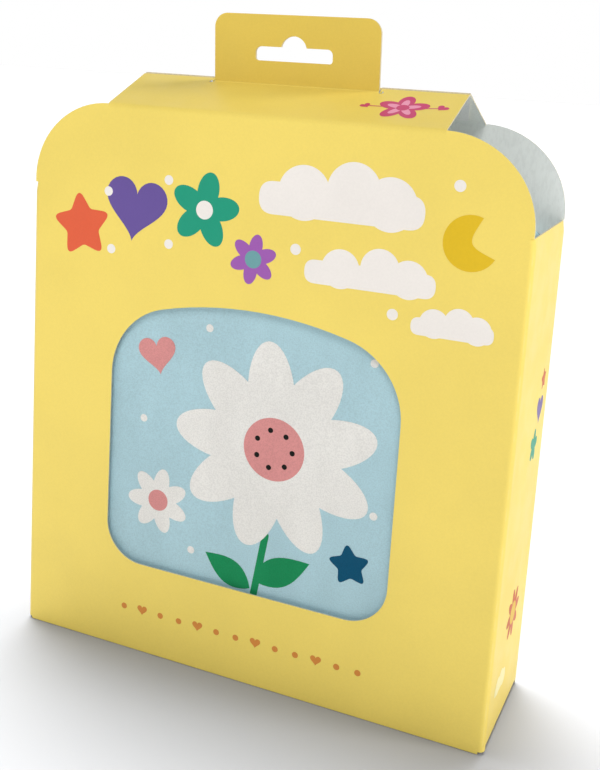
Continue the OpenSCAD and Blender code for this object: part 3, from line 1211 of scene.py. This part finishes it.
    def roof_print(self) -> PrintLayer:
        """Draws the front roof slope: one pink flower with two buds.

        Returns:
            The artwork, in the roof's width and the run of its slope.
        """
        art = PrintLayer("roof_print")
        bloom = (0.0475, 0.0152)
        art.add(Ink.MAGENTA, stroke((0.0345, 0.0150), (0.0420, 0.0152), 0.0006))
        art.add(Ink.MAGENTA, stroke((0.0530, 0.0152), (0.0600, 0.0165), 0.0006))
        art.flower(Ink.MAGENTA, bloom, 0.0098, 5, 0.62, 90)
        art.flower(Ink.BLUSH, bloom, 0.0066, 5, 0.42, 90)
        art.add(Ink.MAGENTA, disc(bloom, 0.0024))
        art.add(Ink.MAGENTA, heart((0.0615, 0.0168), 0.0046, -30), heart((0.0335, 0.0148), 0.0040, 40))
        return art

    def build(self) -> None:
        """Builds the case, its flap and its print, and sets them on their bodies."""
        skin = self.dressed("display_case", "case_card")
        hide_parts("display_case")
        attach(skin, CASE_BODY)
        report(skin)
        flap = self.dressed("bottom_flap", "tuck_flap_card")
        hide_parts("bottom_flap")
        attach(flap, FLAP_BODY)
        report(flap)
        for art, lay in (
            (self.front_print(), self.on_front),
            (self.wall_print(), self.on_right),
            (self.roof_print(), self.on_roof),
        ):
            printed = art.build(lay, self.palette.card)
            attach(printed, CASE_BODY)
            report(printed)


@dataclass
class Pillow:
    """A padded cloth panel: two skins sewn together round their rim and filled.

    Attributes:
        name: Name of its mesh.
        length: Length along its own first axis.
        height: Height along its own second axis.
        corner: Radius of its corners.
        thickness: Thickness at its middle.
        rim: Width of the soft rounding inside its seam.
        crown: Extra half thickness at its middle.
        pucker: Depth of the gathers beside the seam.
        gathers: How fine the gathers are, in waves per metre.
        gather_place: Distance of the deepest gathers from the seam, in rims.
        gather_fade: Distance over which they fade, in rims.
        lumps: How fine the lumps of the filling are, in waves per metre.
        lump_share: Height of the lumps as a share of the crown.
        seed: Seed of its unevenness.
        cell: Size of its mesh's cells.
        evenness: 1 for even cells, and less for smaller ones near the rim.
    """

    name: str
    length: float
    height: float
    corner: float
    thickness: float
    rim: float = 0.007
    crown: float = 0.0008
    pucker: float = 0.0002
    gathers: float = 210.0
    gather_place: float = 0.8
    gather_fade: float = 0.9
    lumps: float = 22.0
    lump_share: float = 0.35
    seed: int = 1
    cell: float = 0.0035
    evenness: float = 0.62

    def rounded(self, u: float, v: float) -> Point:
        """Moves a point of a full rectangle into the one with round corners.

        Args:
            u: Its place along the first axis, from -1 to 1.
            v: Its place along the second axis, from -1 to 1.

        Returns:
            Its place on the panel.
        """
        x, y = u * self.length / 2, v * self.height / 2
        hub_x, hub_y = self.length / 2 - self.corner, self.height / 2 - self.corner
        out_x, out_y = abs(x) - hub_x, abs(y) - hub_y
        if out_x <= 0 or out_y <= 0:
            return x, y
        s, t = out_x / self.corner, out_y / self.corner
        s, t = s * math.sqrt(1 - t * t / 2), t * math.sqrt(1 - s * s / 2)
        return math.copysign(hub_x + s * self.corner, x), math.copysign(hub_y + t * self.corner, y)

    def inset(self, x: float, y: float) -> float:
        """Gives how far a point lies inside the seam.

        Args:
            x: Its place along the first axis.
            y: Its place along the second axis.

        Returns:
            The distance, which is negative outside the seam.
        """
        out_x = abs(x) - (self.length / 2 - self.corner)
        out_y = abs(y) - (self.height / 2 - self.corner)
        outside = math.hypot(max(out_x, 0), max(out_y, 0)) + min(max(out_x, out_y), 0)
        return self.corner - outside

    def half_at(self, x: float, y: float, side: int) -> float:
        """Gives the distance from the panel's middle to one of its skins.

        Args:
            x: Place along the first axis.
            y: Place along the second axis.
            side: 1 or -1 for the two skins, which crumple apart from each other.

        Returns:
            Half of the thickness there.
        """
        depth = max(self.inset(x, y), 0.0)
        if depth <= SAME_POINT:
            return 0.0
        share = min(depth / self.rim, 1.0)
        roll = math.sqrt(max(1 - (1 - share) ** 2, 0.0))
        middle = (1 - (2 * x / self.length) ** 2) * (1 - (2 * y / self.height) ** 2)
        half = (self.thickness / 2 - self.crown) * roll + self.crown * middle
        seed_step, side_step = 3.1, 5.0
        spot = Vector((x, y, self.seed * seed_step + side))
        gather_spot = Vector((x * self.gathers, y * self.gathers, self.seed + side * side_step))
        off_gathers = (depth - self.rim * self.gather_place) / (self.rim * self.gather_fade)
        ripple = self.pucker * noise.noise(gather_spot) * math.exp(-off_gathers ** 2)
        sag = self.crown * self.lump_share * noise.noise(spot * self.lumps) * share
        return max(half + ripple + sag, 0.0)

    def build(self, shape: Callable[[float, float, float], Vector]) -> bpy.types.Object:
        """Makes the panel's mesh.

        Args:
            shape: Gives the place of a point from its two flat axes and its height off the middle.

        Returns:
            The padded panel.
        """
        across, up = round(self.length / self.cell), round(self.height / self.cell)
        verts: list[Vector] = []
        index: dict[tuple[int, int, int], int] = {}
        for side in (1, -1):
            for i in range(across + 1):
                for j in range(up + 1):
                    rim = i in (0, across) or j in (0, up)
                    if rim and side == -1:
                        index[i, j, side] = index[i, j, 1]
                        continue
                    x, y = self.rounded(self.eased(i, across), self.eased(j, up))
                    index[i, j, side] = len(verts)
                    verts.append(shape(x, y, 0.0 if rim else side * self.half_at(x, y, side)))
        faces = []
        for side in (1, -1):
            for i in range(across):
                for j in range(up):
                    ring = [index[a, b, side] for a, b in ((i, j), (i + 1, j), (i + 1, j + 1), (i, j + 1))]
                    faces.append(ring if side == 1 else ring[::-1])
        mesh = bpy.data.meshes.new(self.name)
        mesh.from_pydata(verts, [], faces)
        mesh.polygons.foreach_set("use_smooth", [True] * len(mesh.polygons))
        return add_object(self.name, mesh)

    def eased(self, step: int, steps: int) -> float:
        """Spreads grid lines from -1 to 1, closer together near both ends."""
        share = 2 * step / steps - 1
        return self.evenness * share + (1 - self.evenness) * math.sin(math.pi / 2 * share)


@dataclass
class ClothBook:
    """The padded cloth book: its cover in one wrap round five padded leaves.

    Attributes:
        palette: The finishes.
        cover_low: Lowest corner of the closed cover.
        cover_high: Highest corner of the closed cover.
        leaf_low: Lowest corner of the pack of leaves.
        leaf_high: Highest corner of the pack of leaves.
        board: Thickness of a padded cover.
        spine: Thickness of the cover over the spine.
        spine_bend: Radius of the bends beside the spine.
        spine_reach: Half of the length over which the filling thins towards the spine.
        corner: Radius of the cover's corners.
        art_lift: Height of the print over the cover's cloth.
        art_grid: Spacing of the points that let it follow the cloth.
        leaves: Number of leaves.
        leaf_corner: Radius of a leaf's corners.
        leaf_rim: Width of the soft rounding inside a leaf's seam.
        leaf_crown: Extra half thickness at a leaf's middle.
        leaf_cell: Size of the cells of a leaf's mesh.
        leaf_trim: How much shorter a leaf is than the pack, so that the leaves can shift.
        leaf_gap: Gap between two leaves.
        shift_x: Range of a leaf's shift across the book.
        shift_z: Range of a leaf's shift up the book.
    """

    palette: Palette
    cover_low: Vector
    cover_high: Vector
    leaf_low: Vector
    leaf_high: Vector
    board: float = 0.0085
    spine: float = 0.0062
    spine_bend: float = 0.0085
    spine_reach: float = 0.034
    corner: float = 0.013
    art_lift: float = 0.00008
    art_grid: float = 0.0025
    leaves: int = 5
    leaf_corner: float = 0.009
    leaf_rim: float = 0.0055
    leaf_crown: float = 0.0003
    leaf_cell: float = 0.0042
    leaf_trim: float = 0.0012
    leaf_gap: float = 0.0003
    shift_x: Point = (-0.0012, 0.0002)
    shift_z: Point = (-0.0003, 0.0008)

    @property
    def half_pack(self) -> float:
        """Half of the distance between the two covers' middle layers."""
        return (self.cover_high.y - self.cover_low.y) / 2 - self.board / 2

    @property
    def bend_length(self) -> float:
        """Length of the cloth in one bend beside the spine."""
        return self.spine_bend * math.pi / 2

    def wrap(self, along: float, up: float, off: float) -> Vector:
        """Bends the flat cover round the book, with the spine at the left.

        Args:
            along: Place along the flat cover, from the front's edge to the back's, with 0 at the spine.
            up: Height from the cover's middle.
            off: Distance from the cloth's middle layer, outwards from the book.

        Returns:
            The place on the closed cover.
        """
        left = self.cover_low.x + self.spine / 2
        flat_half = self.half_pack - self.spine_bend
        side = -1 if along < 0 else 1
        run = abs(along)
        z = (self.cover_low.z + self.cover_high.z) / 2 + up
        y_mid = (self.cover_low.y + self.cover_high.y) / 2
        if run <= flat_half:
            return Vector((left - off, y_mid + side * run, z))
        if run <= flat_half + self.bend_length:
            angle = (run - flat_half) / self.spine_bend
            reach = self.spine_bend + off
            x = left + self.spine_bend - reach * math.cos(angle)
            return Vector((x, y_mid + side * (flat_half + reach * math.sin(angle)), z))
        x = left + self.spine_bend + run - flat_half - self.bend_length
        return Vector((x, y_mid + side * (self.half_pack + off), z))

    def cover_length(self) -> float:
        """Gives the flat length of the cover, from one free edge round the spine to the other."""
        straight = self.cover_high.x - self.cover_low.x - self.spine / 2 - self.spine_bend
        return 2 * (straight + self.bend_length + self.half_pack - self.spine_bend)

    def cover(self) -> bpy.types.Object:
        """Builds the cover, sewn and filled in one piece.

        Returns:
            The cover.
        """
        height = self.cover_high.z - self.cover_low.z
        pad = Pillow("book_cover_plush", self.cover_length(), height, self.corner, self.board, seed=4)
        thinning = 1 - self.spine / self.board

        def shape(along: float, up: float, off: float) -> Vector:
            """Thins the filling over the spine, then wraps it."""
            near_spine = math.exp(-((along / self.spine_reach) ** 4))
            return self.wrap(along, up, off * (1 - thinning * near_spine))

        piece = pad.build(shape)
        piece.data.materials.append(self.palette.plush(Ink.SKY))
        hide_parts("book_cover")
        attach(piece, CASE_BODY)
        return piece

    def cover_art(self, cover: bpy.types.Object) -> bpy.types.Object:
        """Prints the garden design on the front of the cover.

        Args:
            cover: The padded cover, which carries the print.

        Returns:
            The printed skin.
        """
        places = [v.co for v in cover.data.vertices]
        tree = BVHTree.FromPolygons(places, [p.vertices[:] for p in cover.data.polygons])
        before_book = -0.1

        def lay(x: float, z: float) -> Vector:
            """Finds the cover's front surface behind a point of the drawing."""
            hit = tree.ray_cast(Vector((x, before_book, z)), Vector((0, 1, 0)))[0]
            return hit - Vector((0, self.art_lift, 0))

        art = self.garden()
        printed = art.build(lay, self.palette.plush, self.art_grid)
        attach(printed, CASE_BODY)
        return printed

    def garden(self) -> PrintLayer:
        """Draws the cover's design: one big daisy with leaves, a small one, a heart and a star.

        Returns:
            The artwork, in the cover's own width and height.
        """
        art = PrintLayer("cover_print")
        daisy, small_daisy = (0.0100, 0.1000), (-0.0400, 0.0680)
        art.add(Ink.LEAF_GREEN, stroke((0.0085, 0.0640), (0.0030, 0.0260), 0.0030))
        art.add(Ink.LEAF_GREEN, leaf((0.0040, 0.0440), 0.0270, 0.0120, 28))
        art.add(Ink.LEAF_GREEN, leaf((0.0030, 0.0400), 0.0230, 0.0110, 152))
        art.flower(Ink.MILK, daisy, 0.0430, 9, 0.46, 96, hub=0.0200)
        art.add(Ink.PINK, disc(daisy, 0.0128))
        seeds, seed_ring = 7, 0.0078
        ring = [polar(seed_ring, math.tau * k / seeds) for k in range(seeds)]
        art.dots(Ink.BLACK, 0.0011, placed(ring, daisy), steps=20)
        art.flower(Ink.MILK, small_daisy, 0.0140, 7, 0.52, 80, hub=0.0070)
        art.add(Ink.PINK, disc(small_daisy, 0.0045))
        art.add(Ink.DEEP_TEAL, star((0.0440, 0.0600), 0.0095, 10))
        art.add(Ink.PINK, heart((-0.0425, 0.1290), 0.0170, 12))
        specks = (
            (-0.0480, 0.1020), (0.0480, 0.1410), (-0.0200, 0.1440), (0.0520, 0.0820), (-0.0240, 0.0500),
        )
        art.dots(Ink.MILK, 0.0016, specks, steps=24)
        return art

    def leaf_piece(self, number: int) -> bpy.types.Object:
        """Builds one padded leaf.

        Args:
            number: Its place in the book, from 0 at the front.

        Returns:
            The leaf.
        """
        step = (self.leaf_high.y - self.leaf_low.y) / self.leaves
        middle = (self.leaf_low + self.leaf_high) / 2
        size = self.leaf_high - self.leaf_low
        chance = random.Random(60 + number)
        x_now = middle.x + chance.uniform(*self.shift_x)
        z_now = middle.z + chance.uniform(*self.shift_z)
        y_now = self.leaf_low.y + (number + 0.5) * step
        pad = Pillow(
            f"book_leaf_{number + 1}",
            length=size.x - self.leaf_trim,
            height=size.z - self.leaf_trim,
            corner=self.leaf_corner,
            thickness=step - self.leaf_gap,
            rim=self.leaf_rim,
            crown=self.leaf_crown,
            seed=20 + number,
            cell=self.leaf_cell,
        )
        piece = pad.build(lambda x, z, off: Vector((x_now + x, y_now - off, z_now + z)))
        piece.data.materials.append(self.palette.of(WovenCloth("leaf_cloth", shade(232, 230, 222))))
        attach(piece, CASE_BODY)
        return piece

    def build(self) -> None:
        """Builds the book in its case."""
        cover = self.cover()
        report(cover)
        report(self.cover_art(cover))
        leaves = [self.leaf_piece(number) for number in range(self.leaves)]
        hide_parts("book_pages")
        for piece in leaves:
            report(piece)


@dataclass(frozen=True)
class PhotoCamera:
    """The camera at the photograph's place, fitted to the case's corners.

    Attributes:
        azimuth: Angle round the object in degrees, with 0 in front and 90 at its right.
        elevation: Angle above the horizon in degrees.
        roll: Turn about the line of sight in degrees.
        place: Where it stands, in the frame's metres.
        focal: Focal length in pixels of the photograph.
        centre: Pixel that its axis passes through.
        image: Width and height of the photograph in pixels.
        sensor: Width of its sensor in millimetres.
    """

    azimuth: float = 24.446
    elevation: float = 11.221
    roll: float = 3.066
    place: tuple[float, float, float] = (0.16989, -0.40950, 0.25233)
    focal: float = 1125.6
    centre: Point = (250.0, 271.0)
    image: tuple[int, int] = (600, 770)
    sensor: float = 36.0

    def build(self) -> None:
        """Makes the camera and sets it as the scene's own."""
        a, e, r = (math.radians(v) for v in (self.azimuth, self.elevation, self.roll))
        back = Vector((math.sin(a) * math.cos(e), -math.cos(a) * math.cos(e), math.sin(e)))
        right = (-back).cross(Vector((0, 0, 1))).normalized()
        up = right.cross(-back)
        rolled_right = math.cos(r) * right + math.sin(r) * up
        rolled_up = math.cos(r) * up - math.sin(r) * right
        longest = max(self.image)
        data = bpy.data.cameras.new("photo_camera")
        data.sensor_width = self.sensor
        data.lens = self.focal * self.sensor / longest
        data.shift_x = (self.image[0] / 2 - self.centre[0]) / longest
        data.shift_y = (self.centre[1] - self.image[1] / 2) / longest
        data.clip_start = 0.01
        camera = add_object("photo_camera", data)
        turn = Matrix((rolled_right, rolled_up, back)).transposed()
        camera.matrix_world = Matrix.Translation(self.place) @ turn.to_4x4()
        bpy.context.scene.camera = camera


@dataclass(frozen=True)
class SoftLight:
    """A broad, distant lamp, which lights the whole floor evenly.

    Attributes:
        name: Name of the lamp.
        toward: Direction from the object to the lamp.
        level: Brightness that it alone gives to white card that faces it.
        spread: Width of the lamp in degrees, seen from the object.
        tint: Colour of its light.
        floor_only: Whether it lights the floor alone, where the object still shades it.
    """

    name: str
    toward: tuple[float, float, float]
    level: float
    spread: float
    tint: tuple[float, float, float] = (1.0, 1.0, 1.0)
    floor_only: bool = False

    def build(self, floor: bpy.types.Object) -> None:
        """Hangs the lamp.

        Args:
            floor: The floor, in case the lamp lights nothing else.
        """
        data = bpy.data.lights.new(self.name, "SUN")
        data.energy = self.level * math.pi
        data.angle = math.radians(self.spread)
        data.color = self.tint
        lamp = add_object(self.name, data)
        lamp.location = self.toward
        lamp.rotation_euler = Vector(self.toward).to_track_quat("Z", "Y").to_euler()
        if self.floor_only:
            receivers = bpy.data.collections.new(f"{self.name}_receivers")
            receivers.objects.link(floor)
            lamp.light_linking.receiver_collection = receivers


@dataclass(frozen=True)
class Studio:
    """A pale floor, a white background and soft lights.

    Attributes:
        floor_size: Length of the floor's sides in metres.
        floor_level: Height of the floor, just under the object.
        floor_white: Share of the light that the floor gives back to the object.
        floor_seen: The floor's colour to the camera, which takes the open floor to white.
        ambient: Brightness of the even light from all round.
        background: Brightness of the background, to the camera and in reflections.
        lights: The soft lights.
    """

    floor_size: float = 14.0
    floor_level: float = -0.0002
    floor_white: float = 0.30
    floor_seen: Colour = (0.283, 0.287, 0.297, 1.0)
    ambient: float = 0.18
    background: float = 1.0
    lights: tuple[SoftLight, ...] = (
        SoftLight("key_front", (0.20, -0.66, 0.72), 0.385, 30),
        SoftLight("key_right", (0.80, 0.15, 0.58), 0.43, 14, (1.0, 0.97, 0.90)),
        SoftLight("fill_low", (0.10, -0.97, 0.20), 0.07, 50),
        SoftLight("floor_light", (-0.18, 0.26, 0.95), 3.45, 42, floor_only=True),
    )

    def floor(self) -> bpy.types.Object:
        """Lays the floor, which keeps the object's shadow.

        Returns:
            The floor.
        """
        half = self.floor_size / 2
        corners = [(-half, -half), (half, -half), (half, half), (-half, half)]
        mesh = bpy.data.meshes.new("floor")
        mesh.from_pydata([(x, y, self.floor_level) for x, y in corners], [], [(0, 1, 2, 3)])
        mesh.materials.append(self.floor_material())
        floor = add_object("floor", mesh)
        floor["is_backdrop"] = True
        return floor

    def floor_material(self) -> bpy.types.Material:
        """Makes the floor's material, which is matt and takes one colour for the camera.

        Returns:
            The material.
        """
        material = bpy.data.materials.new("floor_white")
        nodes = ShaderNodes(material)
        to_camera = nodes.node("ShaderNodeLightPath").outputs["Is Camera Ray"]
        to_object = (self.floor_white,) * 3 + (1.0,)
        matt = nodes.node("ShaderNodeBsdfDiffuse")
        nodes.join(nodes.blended(to_camera, to_object, self.floor_seen), matt.inputs["Color"])
        output = nodes.node("ShaderNodeOutputMaterial")
        nodes.join(matt.outputs[0], output.inputs["Surface"])
        return material

    def world(self) -> None:
        """Makes the world: an even light, seen as white by the camera and in reflections."""
        world = bpy.data.worlds.new("studio")
        bpy.context.scene.world = world
        nodes = ShaderNodes(world)
        rays = nodes.node("ShaderNodeLightPath").outputs
        seen = nodes.math("MAXIMUM", rays["Is Camera Ray"], rays["Is Glossy Ray"])
        direct = nodes.math("MAXIMUM", seen, rays["Is Transmission Ray"])
        level = nodes.node("ShaderNodeMapRange")
        nodes.join(direct, level.inputs["Value"])
        level.inputs["To Min"].default_value = self.ambient
        level.inputs["To Max"].default_value = self.background
        light = nodes.node("ShaderNodeBackground")
        light.inputs["Color"].default_value = (1.0, 1.0, 1.0, 1.0)
        nodes.join(level.outputs["Result"], light.inputs["Strength"])
        output = nodes.node("ShaderNodeOutputWorld")
        nodes.join(light.outputs[0], output.inputs["Surface"])

    def build(self) -> None:
        """Sets up the floor, the world, the lights and the view's colours."""
        floor = self.floor()
        self.world()
        for light in self.lights:
            light.build(floor)
        bpy.context.scene.view_settings.view_transform = "Standard"


def main() -> None:
    """Builds the camera, the studio, the case and the book, and gathers the bounds of the frame's parts and
    of what is shown.
    """
    logging.basicConfig(level=logging.INFO, format="%(name)s %(message)s")
    PhotoCamera().build()
    Studio().build()
    low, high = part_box("display_case")
    size = high - low
    palette = Palette(size.x / 2, size.y / 2)
    FoldedCase(palette, size.x, size.y).build()
    ClothBook(palette, *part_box("book_cover"), *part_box("book_pages")).build()
    shown_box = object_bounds()
    boxes = {name: [list(corner) for corner in box] for name, box in (("cad", cad_box), ("shown", shown_box))}


if __name__ == "__main__":
    main()
